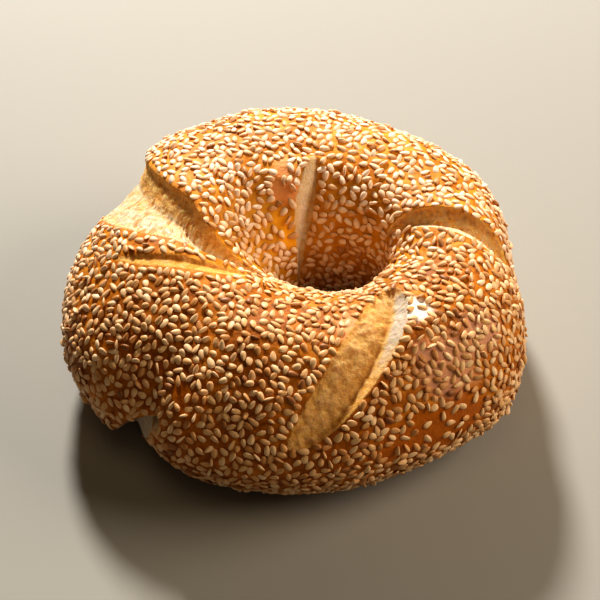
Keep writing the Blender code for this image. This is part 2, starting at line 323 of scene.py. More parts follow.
# The painted highlight on the high wall fades in and out along the opening, from -1 at its outer end to 1 at
# its inner one.
HIGHLIGHT_FROM = -0.35
HIGHLIGHT_FADE_IN = 0.6
HIGHLIGHT_UNTIL = 0.7
HIGHLIGHT_FADE_OUT = 0.25


def opening_relief(opening, ring, rope, radius):
    """How far the skin lifts and moves, how far inside the opening it is, how pale, golden and sunk. The
    paleness holds a painted highlight on the lit high wall, and the golden share is partly painted light.
    """
    along, _, offset, low, high, size = opening_places(opening, ring, rope, radius)
    valley = (opening.valley + opening.drift * along) * size
    on_low = offset < valley
    share = np.where(on_low, (valley - offset) / (valley - low), (offset - valley) / (high - valley))
    wall = np.where(on_low, opening.low_wall, opening.high_wall)
    sunk = size * (1 - np.clip(share, 0, 1)) ** wall
    lift = -opening.depth * (1 + opening.deepen * along) * sunk
    shift = np.zeros_like(lift)
    for past, lip, overhang in (
        (low - offset, opening.low_lip, opening.low_overhang),
        (offset - high, opening.high_lip, -opening.high_overhang),
    ):
        lip_reach = np.where(past > 0, opening.lip_fall, opening.roll)
        overhang_reach = np.where(past > 0, OVERHANG_FALL, opening.roll)
        lift += lip * size**LIP_TAPER * np.exp(-((past / lip_reach) ** 2))
        shift += overhang * size * np.exp(-((past / overhang_reach) ** 2))
    bare_from = low + opening.low_cover * size
    inset = np.where(size > 0, np.minimum(offset - bare_from, high - offset), FAR_OUTSIDE)
    pale = opening.pale_from + (opening.pale_to - opening.pale_from) * (along + 1) / 2
    on_high_wall = smooth((offset - valley) / WALL_BLEND) * smooth((along - HIGHLIGHT_FROM) / HIGHLIGHT_FADE_IN)
    on_high_wall *= 1 - smooth((along - HIGHLIGHT_UNTIL) / HIGHLIGHT_FADE_OUT)
    # Painted highlight: the high wall is painted paler where the light strikes it.
    pale += opening.high_wall_highlight * on_high_wall
    on_low_wall = smooth((valley - offset) / WALL_BLEND)
    # Golden skin, partly painted light: more on a low wall in a lip's shade, less on a lit low lip, none on
    # the painted highlight.
    golden = opening.golden + opening.low_wall_gold_and_shade * on_low_wall - opening.high_wall_highlight * on_high_wall
    golden = np.clip(golden, 0, 1)
    return lift, shift, inset, pale, golden, sunk


# %% [markdown]
# ## Relief at three sizes
#
# Hand-shaped dough is uneven over about a centimetre. Its crust blisters over two or three millimetres. The
# torn crumb is rougher still: fibres that stretch from lip to lip, and small pillows where bubbles were. All
# of this is real geometry here, so that it shows at the outline and in raking light.
#
# The skin is also painted paler from the front of the ring to the back. That is partly milder baking and
# partly painted light, since the key light falls on the back. The side of the hole is painted lighter and
# yellower, partly because it was sheltered from the heat and partly as painted light where the lamps reach
# it little.

# %% Relief of the torn crumb
FIBRE_SPACING = 1.6 * MM
FIBRE_LENGTH = 7.0 * MM
FIBRE_WANDER = 1.5 * MM
FIBRE_WANDER_SIZE = 5.0 * MM
FIBRE_BASE = 0.6
FINE_FIBRE_HEIGHT = 0.4
FINE_FIBRE_SIZE = 0.4
FIBRE_PATCH = 5.0 * MM
FIBRE_COVER = 0.7
PILLOW_SIZE = 2.4 * MM
SMALL_PILLOWS = 0.5
PIT_SIZE = 0.9 * MM
PIT_DEPTH = 0.4 * MM
EDGE_BLEND = 1.0 * MM


def unevenness(points, size):
    return np.array([noise.noise(Vector(point) / size) for point in points])


def ridged(values):
    return 1 - 2 * np.abs(values)


def opening_crumb(opening, ring, rope, radius, points, inset):
    """The roughness of the torn dough inside one opening."""
    crumb = np.zeros_like(inset)
    inside = inset > 0
    _, distance, offset, _, _, _ = opening_places(opening, ring[inside], rope[inside], radius[inside])
    here = points[inside]
    distance = distance + FIBRE_WANDER * unevenness(here, FIBRE_WANDER_SIZE)
    stretched = np.stack([distance / FIBRE_SPACING, offset / FIBRE_LENGTH, np.zeros_like(offset)], axis=-1)
    fibres = ridged(unevenness(stretched, 1.0)) - FIBRE_BASE
    fibres = fibres + FINE_FIBRE_HEIGHT * unevenness(stretched, FINE_FIBRE_SIZE)
    fibres *= smooth(FIBRE_COVER + unevenness(here, FIBRE_PATCH))
    pillows = unevenness(here, PILLOW_SIZE) + SMALL_PILLOWS * unevenness(here, PILLOW_SIZE / 2)
    pits = PIT_DEPTH * unevenness(here, PIT_SIZE) * min(1.0, opening.fibres / MM)
    fade = smooth(inset[inside] / EDGE_BLEND)
    crumb[inside] = fade * (opening.fibres * fibres + opening.pillows * pillows + pits)
    return crumb


# %% The finished skin
LUMP_SIZE = 13.0 * MM
LUMP_HEIGHT = 0.5 * MM
BLISTER_SIZE = 2.6 * MM
BLISTER_HEIGHT = 0.10 * MM
STRONGEST_FIBRES = 0.5 * MM
OPENING_TRAITS = ("paleness", "golden", "fibrous", "along_mm", "across_mm")
FOOT_FADE_START = 1.0 * MM
FOOT_FADE = 6.0 * MM
FOOT_LIFT = 0.25 * MM
MILDER_AND_LIT_START = -38.0 * MM
MILDER_AND_LIT_RUN = 66.0 * MM
SHELTERED_AND_LIT_START = 0.3
SHELTERED_AND_LIT_RUN = 0.6


def dough(ring, rope):
    """The finished skin, and what the material needs to know of each of its points."""
    points = plain_ring(ring, rope)
    normal, round_ring = skin_directions(ring, rope)
    radius = np.hypot(points[:, 0], points[:, 1])
    lift = LUMP_HEIGHT * unevenness(points, LUMP_SIZE)
    blisters = BLISTER_HEIGHT * unevenness(points, BLISTER_SIZE)
    deepest = np.full_like(lift, FAR_OUTSIDE)
    shift, relief, sunk = np.zeros((3, len(lift)))
    traits = {name: np.zeros_like(lift) for name in OPENING_TRAITS}
    for opening in OPENINGS.values():
        _, distance, offset, _, _, _ = opening_places(opening, ring, rope, radius)
        lift_here, shift_here, inset, pale, golden, sunk_here = opening_relief(opening, ring, rope, radius)
        crumb = opening_crumb(opening, ring, rope, radius, points, inset)
        lift += lift_here + crumb
        shift += shift_here
        relief += crumb
        sunk = np.maximum(sunk, sunk_here)
        traits_here = (pale, golden, opening.fibres / STRONGEST_FIBRES, distance / MM, offset / MM)
        for name, values in zip(OPENING_TRAITS, traits_here):
            traits[name] = np.where(inset > deepest, values, traits[name])
        deepest = np.maximum(deepest, inset)
    lift += blisters * (1 - smooth(deepest / EDGE_BLEND))
    fade = smooth((points[:, 2] - FOOT_FADE_START) / FOOT_FADE)
    points = points + normal * (lift * fade)[:, None] + round_ring * (shift * fade)[:, None]
    points[:, 2] = np.maximum(points[:, 2], FOOT_LIFT)
    traits.update({"inset_mm": deepest / MM, "relief_mm": relief / MM, "sunk": sunk})
    # Partly painted light: the skin is painted paler towards the back, where the key light falls, as well as
    # for milder baking.
    traits["milder_and_lit"] = smooth((points[:, 1] - MILDER_AND_LIT_START) / MILDER_AND_LIT_RUN)
    # Partly painted light: the side of the hole is painted lighter and yellower where the lamps reach it
    # little, as well as for its sheltered baking.
    traits["sheltered_and_lit"] = smooth((-np.cos(rope) - SHELTERED_AND_LIT_START) / SHELTERED_AND_LIT_RUN)
    return points, traits


# %% [markdown]
# ## The skin of the bread
#
# A circle of the rope's section is spun round the hole, which gives clean quads that run with the rope. The
# faces in and around the openings are then cut once more, because the fibres and the sharp lips need
# smaller faces than the plain crust does. Last, every point moves to its place on the dough.
#
# The order of edges and faces matters too, because it decides how new points are numbered, and so where the
# seeds fall. Merging the two ends of a spin leaves it different in each run, and a Python set of edges has
# no order at all, so we sort both by the numbers of their points. The middle of an edge also comes out a
# hair different from one end than from the other, so each angle is snapped to its half step.

# %% Spin the rope and cut the openings finer
RING_STEPS = 364
ROPE_STEPS = 174
FINE_MARGIN = 2.2 * MM


def half_steps(angle, steps):
    """The angle at the nearest half step, from 0 up to a full turn."""
    return np.round(angle * steps / math.pi) % (2 * steps) * (math.pi / steps)


def torus_angles(shape):
    places = np.array([vertex.co for vertex in shape.verts])
    ring = np.arctan2(places[:, 1], places[:, 0])
    rope = np.arctan2(places[:, 2], np.hypot(places[:, 0], places[:, 1]) - RING_MIDDLE)
    return half_steps(ring, RING_STEPS), half_steps(rope, ROPE_STEPS)


def put_in_order(shape):
    """Sorts edges and faces by their lowest and highest point, and numbers them that way."""
    shape.verts.index_update()
    count = len(shape.verts)

    def place(part):
        numbers = [vertex.index for vertex in part.verts]
        return min(numbers) * count + max(numbers)

    for parts in (shape.edges, shape.faces):
        parts.sort(key=place)
        parts.index_update()


def fine_edges(shape):
    ring, rope = torus_angles(shape)
    points = plain_ring(ring, rope)
    radius = np.hypot(points[:, 0], points[:, 1])
    near = np.zeros(len(points), bool)
    for opening in OPENINGS.values():
        near |= opening_relief(opening, ring, rope, radius)[2] > -FINE_MARGIN
    shape.verts.index_update()
    faces = [face for face in shape.faces if any(near[vertex.index] for vertex in face.verts)]
    chosen = {edge for face in faces for edge in face.edges}
    return sorted(chosen, key=lambda edge: edge.index)


bread_shape = bmesh.new()
section_place = Matrix.Translation((RING_MIDDLE, 0, 0)) @ Matrix.Rotation(math.pi / 2, 4, "X")
section = bmesh.ops.create_circle(bread_shape, segments=ROPE_STEPS, radius=ROPE_HALF, matrix=section_place)
bmesh.ops.spin(
    bread_shape, geom=section["verts"] + bread_shape.edges[:], cent=(0, 0, 0), axis=(0, 0, 1),
    angle=2 * math.pi, steps=RING_STEPS, use_merge=True,
)
put_in_order(bread_shape)
bmesh.ops.subdivide_edges(bread_shape, edges=fine_edges(bread_shape), cuts=1, use_grid_fill=True)
bmesh.ops.recalc_face_normals(bread_shape, faces=bread_shape.faces)
ring_angle, rope_angle = torus_angles(bread_shape)
skin_points, skin_traits = dough(ring_angle, rope_angle)
for vertex, point in zip(bread_shape.verts, skin_points):
    vertex.co = point
bread_mesh = bpy.data.meshes.new("bread")
bread_shape.to_mesh(bread_mesh)
bread_shape.free()
bread_mesh.shade_smooth()
bread = add_object("bread", bread_mesh)
print("bread: points", len(bread_mesh.vertices), "faces", len(bread_mesh.polygons))

# %% [markdown]
# ## Patches of crust
#
# The crust isn't one colour. A patch low at the front baked to a glossy brown and caught few seeds, there
# are blushed spots beside the openings, painted brighter as painted light where they lie in shade, and one
# spot inside the hole is thin, amber and bare. Pinkish patches on the right front are painted sheen, a
# painted reflection of the light, and a pale spot beside the split is painted near white as a painted
# highlight. Each patch is a soft round spot on the skin with a wandering edge, and the material and the
# seeds both read it.


# %% Patches
@dataclass
class Patch:
    kind: str
    ring: float
    rope: float
    size: float
    bareness: float


PATCHES = [
    Patch("glaze", 297, 11, 7 * MM, 0.85),
    Patch("glaze", 306, 11, 8 * MM, 0.95),
    Patch("glaze", 314, 13, 7 * MM, 0.9),
    Patch("glaze", 236, 37, 3.2 * MM, 1.0),
    Patch("amber", 128, 151, 4.4 * MM, 1.0),
    Patch("amber", 132, 162, 4.2 * MM, 1.0),
    # Pinkish bare crust, its colour painted brighter as painted light because the patches lie in shade.
    Patch("blush_and_painted_light", 113, 122, 4.2 * MM, 1.0),
    Patch("blush_and_painted_light", 119, 134, 5.0 * MM, 1.0),
    Patch("blush_and_painted_light", 283, 88, 4 * MM, 0.6),
    # Pinkish patches on the right front are painted sheen: a painted reflection of the light on glossy crust.
    Patch("painted_sheen", 312, 48, 9 * MM, 0.1),
    Patch("painted_sheen", 326, 55, 6 * MM, 0.1),
    # A pale spot beside the split, painted near white as a painted highlight where the light strikes it.
    Patch("pale_highlight_spot", 310, 86, 4.2 * MM, 0.95),
]
PATCH_KINDS = ("glaze", "amber", "blush_and_painted_light", "painted_sheen", "pale_highlight_spot")
PATCH_WANDER = 0.35
PATCH_WANDER_SIZE = 4.0 * MM
PATCH_SOLID = 0.75
PATCH_EDGE = 0.5


def skin_point(ring_deg, rope_deg):
    ring = np.array([math.radians(ring_deg)])
    return plain_ring(ring, np.array([math.radians(rope_deg)]))[0]


def patch_values(points):
    wander = 1 + PATCH_WANDER * unevenness(points, PATCH_WANDER_SIZE)
    values = {kind: np.zeros(len(points)) for kind in PATCH_KINDS}
    bare = np.zeros(len(points))
    for patch in PATCHES:
        away = np.linalg.norm(points - skin_point(patch.ring, patch.rope), axis=1) * wander
        amount = 1 - smooth((away / patch.size - PATCH_SOLID) / PATCH_EDGE)
        values[patch.kind] = np.maximum(values[patch.kind], amount)
        bare = np.maximum(bare, amount * patch.bareness)
    return values, bare


def store(mesh, name, values):
    attribute = mesh.attributes.new(name, "FLOAT", "POINT")
    attribute.data.foreach_set("value", np.asarray(values, np.float32))


skin_patches, skin_bare = patch_values(skin_points)
for name, values in {**skin_traits, **skin_patches}.items():
    store(bread_mesh, name, values)
print("points in a patch:", int((skin_bare > 0.5).sum()))

# %% [markdown]
# ## A map for the skin
#
# The two angles are also the natural flat map of a ring. Each face gets its corners' angles, and a face
# that crosses the seam takes the far side's angle plus a full turn, so no face stretches across the map.

# %% The ring's flat map
BEFORE_SEAM = 0.75
PAST_SEAM = 0.25


def add_ring_map(mesh, ring, rope):
    corners = np.zeros(len(mesh.loops), np.int64)
    mesh.loops.foreach_get("vertex_index", corners)
    starts = np.zeros(len(mesh.polygons), np.int64)
    counts = np.zeros(len(mesh.polygons), np.int64)
    mesh.polygons.foreach_get("loop_start", starts)
    mesh.polygons.foreach_get("loop_total", counts)
    face = np.repeat(np.arange(len(starts)), counts)
    flat = np.zeros((len(corners), 2))
    for column, angles in enumerate((ring, rope)):
        share = (angles[corners] / (2 * math.pi)) % 1.0
        widest = np.zeros(len(starts))
        np.maximum.at(widest, face, share)
        crosses = (widest[face] > BEFORE_SEAM) & (share < PAST_SEAM)
        share = np.where(crosses, share + 1.0, share)
        flat[:, column] = share
    flat /= flat.max(axis=0)
    layer = mesh.uv_layers.new(name="OFBake")
    layer.data.foreach_set("uv", flat.astype(np.float32).ravel())


add_ring_map(bread_mesh, ring_angle, rope_angle)
print("flat map corners:", len(bread_mesh.loops))

# %% [markdown]
# ## Colours and nodes
#
# Colours are written as the sRGB hex values that a picker shows, and turned to the linear values that
# shaders use. One helper adds a node, sets it up and links it, so that each material below reads as a recipe.


# %% Colour and node helpers
def linear(hex_colour):
    channels = [int(hex_colour[i : i + 2], 16) / 255 for i in (1, 3, 5)]
    return [c / 12.92 if c <= 0.04045 else ((c + 0.055) / 1.055) ** 2.4 for c in channels] + [1.0]


def add(tree, kind, inputs=None, stops=None, **settings):
    """Adds a node and feeds its sockets, by name or number, from values, sockets or whole nodes."""
    node = tree.nodes.new(kind)
    for name, value in settings.items():
        setattr(node, name, value)
    for key, value in (inputs or {}).items():
        if isinstance(key, int):
            socket = node.inputs[key]
        else:
            socket = next(entry for entry in node.inputs if entry.enabled and entry.name == key)
        if isinstance(value, bpy.types.Node):
            value = next(output for output in value.outputs if output.enabled)
        if isinstance(value, bpy.types.NodeSocket):
            tree.links.new(value, socket)
        else:
            socket.default_value = value
    for number, (position, hex_colour) in enumerate(stops or []):
        while len(node.color_ramp.elements) <= number:
            node.color_ramp.elements.new(1.0)
        node.color_ramp.elements[number].position = position
        node.color_ramp.elements[number].color = linear(hex_colour)
    return node


def new_material(name):
    material = bpy.data.materials.new(name)
    material.use_nodes = True
    material.node_tree.nodes.clear()
    return material, material.node_tree


print("mid grey in linear:", [round(channel, 3) for channel in linear("#808080")[:3]])

# %% [markdown]
# ## Bread crust and crumb
#
# Baked wheat crust is a thin glassy skin over a spongy body. Its brown comes from sugars, so it varies with
# heat: golden where it is thick and pale, deep brown where it stood out. It is fairly smooth, with an index
# of refraction near 1.45 and a soft gloss. Torn crumb is starch foam: pale, matt and full of tiny holes. One
# shader does both, so that the crust can fade into the crumb over a toasted edge as it does in the oven.

# %% Crust colour
CRUST_STOPS = [(0.30, "#884A0C"), (0.45, "#AC6212"), (0.58, "#C87C20"), (0.75, "#E09A3A")]
LEAST_BROWNNESS = -0.26
# The crust is painted less brown towards the back: partly milder baking, partly painted light.
MILDER_AND_LIT_SHARE = 0.2
# Each noise has a size in mm, a detail and a share.
CRUST_NOISES = [(16.0, 2.0, 0.55), (4.0, 3.0, 0.45), (1.3, 2.0, 0.4)]
SPOT_COLOURS = [
    # The hole side is painted lighter and yellower: partly sheltered baking, partly painted light.
    ("sheltered_and_lit", 0.55, "#CC9626"),
    # Pinkish crust, painted brighter as painted light where it lies in shade.
    ("blush_and_painted_light", 0.75, "#FFB078"),
    # Painted sheen: a painted reflection of the light on glossy crust.
    ("painted_sheen", 0.6, "#DCA88C"),
    ("glaze", 0.7, "#B4600C"),
    ("amber", 0.9, "#FFB82E"),
    # The pale spot's near-white is a painted highlight.
    ("pale_highlight_spot", 0.9, "#FFFAF0"),
]

crust_material, tree = new_material("baked_wheat_crust")
here = add(tree, "ShaderNodeTexCoord").outputs["Object"]
trait = {}
for name in (*skin_traits, *PATCH_KINDS):
    trait[name] = add(tree, "ShaderNodeAttribute", attribute_name=name).outputs["Fac"]
brownness = add(
    tree, "ShaderNodeMath", {0: trait["milder_and_lit"], 1: MILDER_AND_LIT_SHARE, 2: LEAST_BROWNNESS}, operation="MULTIPLY_ADD"
)
for size, detail, share in CRUST_NOISES:
    layer = add(tree, "ShaderNodeTexNoise", {"Vector": here, "Scale": 1 / (size * MM), "Detail": detail})
    brownness = add(tree, "ShaderNodeMath", {0: layer, 1: share, 2: brownness}, operation="MULTIPLY_ADD")
crust_colour = add(tree, "ShaderNodeValToRGB", {"Fac": brownness}, stops=CRUST_STOPS)
for name, strength, hex_colour in SPOT_COLOURS:
    share = add(tree, "ShaderNodeMath", {0: trait[name], 1: strength}, operation="MULTIPLY")
    crust_colour = add(
        tree, "ShaderNodeMix", {"Factor": share, "A": crust_colour, "B": linear(hex_colour)}, data_type="RGBA"
    )
print("traits that the crust reads:", list(trait))

# %% Crumb colour, and where the crust gives way to it
CRUMB_STOPS = [(0.0, "#9C5C18"), (0.3, "#C68E48"), (0.55, "#D2AC7A"), (0.8, "#CEB898"), (1.0, "#D2C4B0")]
BORDER_NOISE_SIZE = 1.6 * MM
BORDER_WANDER_MM = 1.2
TOASTED_FROM_MM = 0.8
TOASTED_TO_MM = 3.8
TOASTED_WHITENESS = 0.7
MOTTLE_SIZE = 2.2 * MM
LEAST_WHITENESS = -0.65
# Painted shade: the crumb is painted darker down in the valley of an opening and in the hollows of its
# relief, and lighter on the raised fibres.
RELIEF_SHADE_SHARE = 0.35
SUNK_SHADE_SHARE = -0.2
MOTTLE_SHARE = 1.4

wander = add(tree, "ShaderNodeTexNoise", {"Vector": here, "Scale": 1 / BORDER_NOISE_SIZE, "Detail": 3.0})
border = add(
    tree, "ShaderNodeMath", {0: wander, 1: BORDER_WANDER_MM, 2: trait["inset_mm"]}, operation="MULTIPLY_ADD"
)
toasting = add(
    tree,
    "ShaderNodeMapRange",
    {"Value": border, "From Min": TOASTED_FROM_MM, "From Max": TOASTED_TO_MM, "To Min": TOASTED_WHITENESS},
    interpolation_type="SMOOTHSTEP",
)
mottle = add(
    tree, "ShaderNodeTexNoise", {"Vector": here, "Scale": 1 / MOTTLE_SIZE, "Detail": 4.0, "Roughness": 0.65}
)
whiteness = add(
    tree,
    "ShaderNodeMath",
    {0: toasting, 1: trait["paleness"], 2: LEAST_WHITENESS},
    operation="MULTIPLY_ADD",
)
for source, share in (
    (trait["relief_mm"], RELIEF_SHADE_SHARE),
    (trait["sunk"], SUNK_SHADE_SHARE),
    (mottle, MOTTLE_SHARE),
):
    whiteness = add(tree, "ShaderNodeMath", {0: source, 1: share, 2: whiteness}, operation="MULTIPLY_ADD")
crumb_colour = add(tree, "ShaderNodeValToRGB", {"Fac": whiteness}, stops=CRUMB_STOPS)
print("border noise in mm:", round(BORDER_NOISE_SIZE / MM, 1))

# %% Painted shade in the pockets between the fibres
POCKET_WIDTH_MM = 1.6
POCKET_LENGTH_MM = 4.0
POCKET_FROM = 0.52
POCKET_TO = 0.64
POCKET_SHADE_STRENGTH = 0.7
POCKET_SHADE_COLOUR = "#B06A14"

# Painted shade: brown streaks painted into the pockets between the fibres.
turns = {}
for side, name, size in (("X", "along_mm", POCKET_WIDTH_MM), ("Y", "across_mm", POCKET_LENGTH_MM)):
    turns[side] = add(tree, "ShaderNodeMath", {0: trait[name], 1: 1 / size}, operation="MULTIPLY")
stretched = add(tree, "ShaderNodeCombineXYZ", turns)
pocket_shade = add(
    tree, "ShaderNodeTexNoise", {"Vector": stretched, "Scale": 1.0, "Detail": 2.0, "Distortion": 1.1}
)
pocket_shade = add(
    tree,
    "ShaderNodeMapRange",
    {"Value": pocket_shade, "From Min": POCKET_FROM, "From Max": POCKET_TO, "To Max": POCKET_SHADE_STRENGTH},
)
pocket_shade = add(tree, "ShaderNodeMath", {0: pocket_shade, 1: trait["fibrous"]}, operation="MULTIPLY")
crumb_colour = add(
    tree,
    "ShaderNodeMix",
    {"Factor": pocket_shade, "A": crumb_colour, "B": linear(POCKET_SHADE_COLOUR)},
    data_type="RGBA",
)
print("nodes so far:", len(tree.nodes))

# %% Golden skin over the crumb, partly painted light on walls in shade
# Golden skin colours, partly painted light that lightens and warms walls in shade.
GOLD_SKIN_AND_LIGHT_STOPS = [(0.32, "#B87420"), (0.48, "#EAA63C"), (0.66, "#F8C870")]
BLOTCH_SIZE = 1.4 * MM
GOLD_FROM = 0.35
GOLD_TO = 0.6
LEAST_GOLD = 0.45

patchy = add(
    tree,
    "ShaderNodeMapRange",
    {"Value": mottle, "From Min": GOLD_FROM, "From Max": GOLD_TO, "To Min": LEAST_GOLD},
)
golden = add(tree, "ShaderNodeMath", {0: trait["golden"], 1: patchy}, operation="MULTIPLY")
blotches = add(
    tree, "ShaderNodeTexNoise", {"Vector": here, "Scale": 1 / BLOTCH_SIZE, "Detail": 4.0, "Roughness": 0.6}
)
gold_skin_and_painted_light = add(tree, "ShaderNodeValToRGB", {"Fac": blotches}, stops=GOLD_SKIN_AND_LIGHT_STOPS)
crumb_colour = add(
    tree, "ShaderNodeMix", {"Factor": golden, "A": crumb_colour, "B": gold_skin_and_painted_light}, data_type="RGBA"
)

# %% Crust and crumb together
BORDER_FROM_MM = 0.5
BORDER_TO_MM = 1.1

crumb_share = add(
    tree,
    "ShaderNodeMapRange",
    {"Value": border, "From Min": BORDER_FROM_MM, "From Max": BORDER_TO_MM},
    interpolation_type="SMOOTHSTEP",
)
bread_colour = add(
    tree, "ShaderNodeMix", {"Factor": crumb_share, "A": crust_colour, "B": crumb_colour}, data_type="RGBA"
)
print("width of the border in mm:", round(BORDER_TO_MM - BORDER_FROM_MM, 1))

# %% Gloss
GLOSS_SIZE = 3.0 * MM
PLAIN_ROUGHNESS = 0.4
GLOSS_CHANGE = 0.3
GLAZE_CHANGE = -0.25
CRUMB_CHANGE = 0.38

gloss = add(tree, "ShaderNodeTexNoise", {"Vector": here, "Scale": 1 / GLOSS_SIZE})
roughness = PLAIN_ROUGHNESS
for source, change in ((gloss, GLOSS_CHANGE), (trait["glaze"], GLAZE_CHANGE), (crumb_share, CRUMB_CHANGE)):
    roughness = add(tree, "ShaderNodeMath", {0: source, 1: change, 2: roughness}, operation="MULTIPLY_ADD")

# %% Grain and wrinkles
GRAIN_SIZE = 0.7 * MM
CRUST_GRAIN = 0.2
CRUMB_GRAIN = 0.8
WRINKLE_SIZE = 1.6 * MM
WRINKLE_HEIGHT = 0.9
BUMP_STRENGTH = 0.75
BUMP_HEIGHT = 0.4 * MM

grain = add(
    tree, "ShaderNodeTexNoise", {"Vector": here, "Scale": 1 / GRAIN_SIZE, "Detail": 4.0, "Roughness": 0.6}
)
height = add(
    tree, "ShaderNodeMath", {0: crumb_share, 1: CRUMB_GRAIN, 2: CRUST_GRAIN}, operation="MULTIPLY_ADD"
)
height = add(tree, "ShaderNodeMath", {0: grain, 1: height}, operation="MULTIPLY")
wrinkles = add(tree, "ShaderNodeTexNoise", {"Vector": here, "Scale": 1 / WRINKLE_SIZE, "Detail": 2.0})
height = add(tree, "ShaderNodeMath", {0: wrinkles, 1: WRINKLE_HEIGHT, 2: height}, operation="MULTIPLY_ADD")
grain_bump = add(
    tree, "ShaderNodeBump", {"Height": height, "Strength": BUMP_STRENGTH, "Distance": BUMP_HEIGHT}
)

# %% The bread's surface
CRUMB_GLOW = 0.3
GOLDEN_GLOW = 0.4
GLOW_REACH = 4.0 * MM

glow = add(tree, "ShaderNodeMath", {0: golden, 1: GOLDEN_GLOW, 2: CRUMB_GLOW}, operation="MULTIPLY_ADD")
glow = add(tree, "ShaderNodeMath", {0: glow, 1: crumb_share}, operation="MULTIPLY")
crust_surface = add(
    tree,
    "ShaderNodeBsdfPrincipled",
    {
        "Base Color": bread_colour,
        "Roughness": roughness,
        "IOR": 1.45,
        "Specular IOR Level": 0.15,
        "Subsurface Weight": glow,
        "Subsurface Radius": (1.0, 0.5, 0.15),
        "Subsurface Scale": GLOW_REACH,
        "Normal": grain_bump,
    },
)
add(tree, "ShaderNodeOutputMaterial", {"Surface": crust_surface})
bread_mesh.materials.append(crust_material)
print("crust material nodes:", len(tree.nodes))

# %% [markdown]
# ## One sesame seed
#
# A hulled sesame seed is a flattened drop about 3 mm long, 1.75 mm wide and not quite 1 mm thick, pointed
# at one end. A small sphere stretched along its poles has its points in the right places already: the
# poles become the two ends. Its 48 faces are enough for something ten pixels long.

# %% The seed's shape
SEED_SIDES = 8
SEED_BANDS = 6
SEED_LENGTH = 3.0 * MM
SEED_WIDTH = 1.75 * MM
SEED_THICKNESS = 0.86 * MM
SEED_TAPER = 0.42
TAPER_POWER = 1.3
SEED_FULLNESS = 0.82
NEAR_POLE = 0.01


def from_lowest(face):
    """A face's point numbers in their order round it, from the lowest on."""
    numbers = [vertex.index for vertex in face.verts]
    start = numbers.index(min(numbers))
    return numbers[start:] + numbers[:start]


seed_shape = bmesh.new()
lengthwise = Matrix.Rotation(math.pi / 2, 4, "Y")
bmesh.ops.create_uvsphere(
    seed_shape, u_segments=SEED_SIDES, v_segments=SEED_BANDS, radius=0.5, matrix=lengthwise
)
for vertex in seed_shape.verts:
    radius = math.hypot(vertex.co.y, vertex.co.z) * 2
    if radius > NEAR_POLE:
        taper = 1 - SEED_TAPER * (vertex.co.x + 0.5) ** TAPER_POWER
        drop = radius ** (SEED_FULLNESS - 1) * taper
        vertex.co.yz = vertex.co.yz * drop
widest = max(vertex.co.y for vertex in seed_shape.verts)
bmesh.ops.scale(seed_shape, vec=(1, 0.5 / widest, 0.5 / widest), verts=seed_shape.verts)
bmesh.ops.recalc_face_normals(seed_shape, faces=seed_shape.faces)
seed_shape.verts.index_update()
SEED_POINTS = np.array([vertex.co for vertex in seed_shape.verts])
SEED_FACES = sorted(from_lowest(face) for face in seed_shape.faces)
seed_shape.free()
print("one seed: points", len(SEED_POINTS), "faces", len(SEED_FACES))

# %% [markdown]
# ## Scattering the seeds
#
# The dough was pressed into a tray of seeds, so they lie flat, turned every way, as tightly as they fit. To
# get that look, random places on the crust are tried one after another, and a seed stays only if its oval
# hardly overlaps its neighbours' ovals. A few turns are tried before a place is given up. Openings, bare
# patches and the foot are skipped. Every random draw is seeded, so each run gives the same bagel.

# %% Random places on the crust
PLACE_TRIES = 110000
EDGE_MARGIN_MM = 0.5
FOOT_SPARSE = 7.0 * MM
FEWEST_AT_FOOT = 0.12
DEEPEST_SEED = 0.45

rng = np.random.default_rng(11)


def crust_places(mesh, count):
    """Random points of the skin by area, with their normals and how likely each is to hold a seed."""
    mesh.calc_loop_triangles()
    triangles = np.zeros(len(mesh.loop_triangles) * 3, np.int64)
    mesh.loop_triangles.foreach_get("vertices", triangles)
    triangles = triangles.reshape(-1, 3)
    corners = skin_points[triangles]
    sides = np.cross(corners[:, 1] - corners[:, 0], corners[:, 2] - corners[:, 0])
    area = np.linalg.norm(sides, axis=1) / 2
    normals = np.zeros_like(skin_points)
    for corner in range(3):
        np.add.at(normals, triangles[:, corner], sides)
    chosen = np.searchsorted(np.cumsum(area) / area.sum(), rng.random(count))
    weights = rng.dirichlet((1, 1, 1), count)

    def between(values):
        return np.einsum("ij,ij...->i...", weights, values[triangles[chosen]])

    places = between(skin_points)
    normal = between(normals)
    normal /= np.linalg.norm(normal, axis=1, keepdims=True)
    likely = (1 - between(skin_bare)) * (between(skin_traits["inset_mm"]) < -EDGE_MARGIN_MM)
    likely *= np.clip(places[:, 2] / FOOT_SPARSE, FEWEST_AT_FOOT, 1)
    likely *= between(skin_traits["sunk"]) < DEEPEST_SEED
    return places, normal, likely, area.sum()


places, place_normals, likely, skin_area = crust_places(bread_mesh, PLACE_TRIES)
kept = rng.random(PLACE_TRIES) < likely
places = places[kept]
place_normals = place_normals[kept]
print("skin area in square mm:", round(skin_area / MM**2), "places left:", len(places))

# %% Fit the seeds between their neighbours
TURN_TRIES = 4
OVERLAP = 0.94
SAME_PLACE = 1e-6
SEED_SPREAD = 0.09
SMALLEST_SEED = 0.75
CELL = 3.6 * MM

draw = random.Random(5)


def oval_radius(direction, length_axis, half_length, half_width):
    along = min(1.0, abs(direction.dot(length_axis)))
    return 1 / math.sqrt((along / half_length) ** 2 + (1 - along * along) / half_width**2)


def fits(place, axis, half_length, half_width, neighbours):
    for other_place, other_axis, other_length, other_width in neighbours:
        gap = other_place - place
        distance = gap.length
        if distance < SAME_PLACE:
            return False
        direction = gap / distance
        needed = oval_radius(direction, axis, half_length, half_width)
        needed += oval_radius(direction, other_axis, other_length, other_width)
        if distance < OVERLAP * needed:
            return False
    return True


